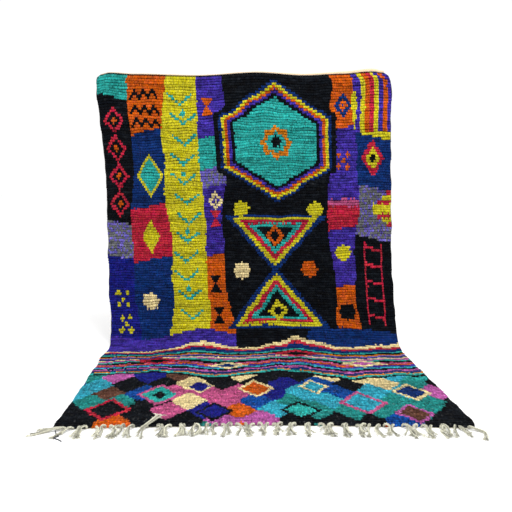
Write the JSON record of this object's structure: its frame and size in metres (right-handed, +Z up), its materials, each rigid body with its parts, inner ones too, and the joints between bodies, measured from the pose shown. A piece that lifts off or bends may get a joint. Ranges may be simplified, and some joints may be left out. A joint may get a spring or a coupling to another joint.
{
  "type": "boujaad rug",
  "caption": "Hand-knotted wool pile rug with a tasselled fringe, hung by its top edge and curving out to lie flat on the floor.",
  "frame": {"origin": "middle of the rug's footprint, on the floor", "axes": "+Z up; the pile faces -Y where it hangs and +Z where it lies; +X to the right of someone who looks at the pile; the hanging edge is at the +Y side"},
  "size_m": [1.716, 1.2594, 1.5173],
  "materials": {
    "pile": "matte knotted wool pile in many colours",
    "heading": "matte plain-woven wool, undyed beige",
    "fringe": "matte twisted wool warp cord, undyed cream"
  },
  "bodies": {
    "root": {"rug_field": "pile", "header_band": "heading", "fringe_comb": "fringe"}
  },
  "joints": []
}
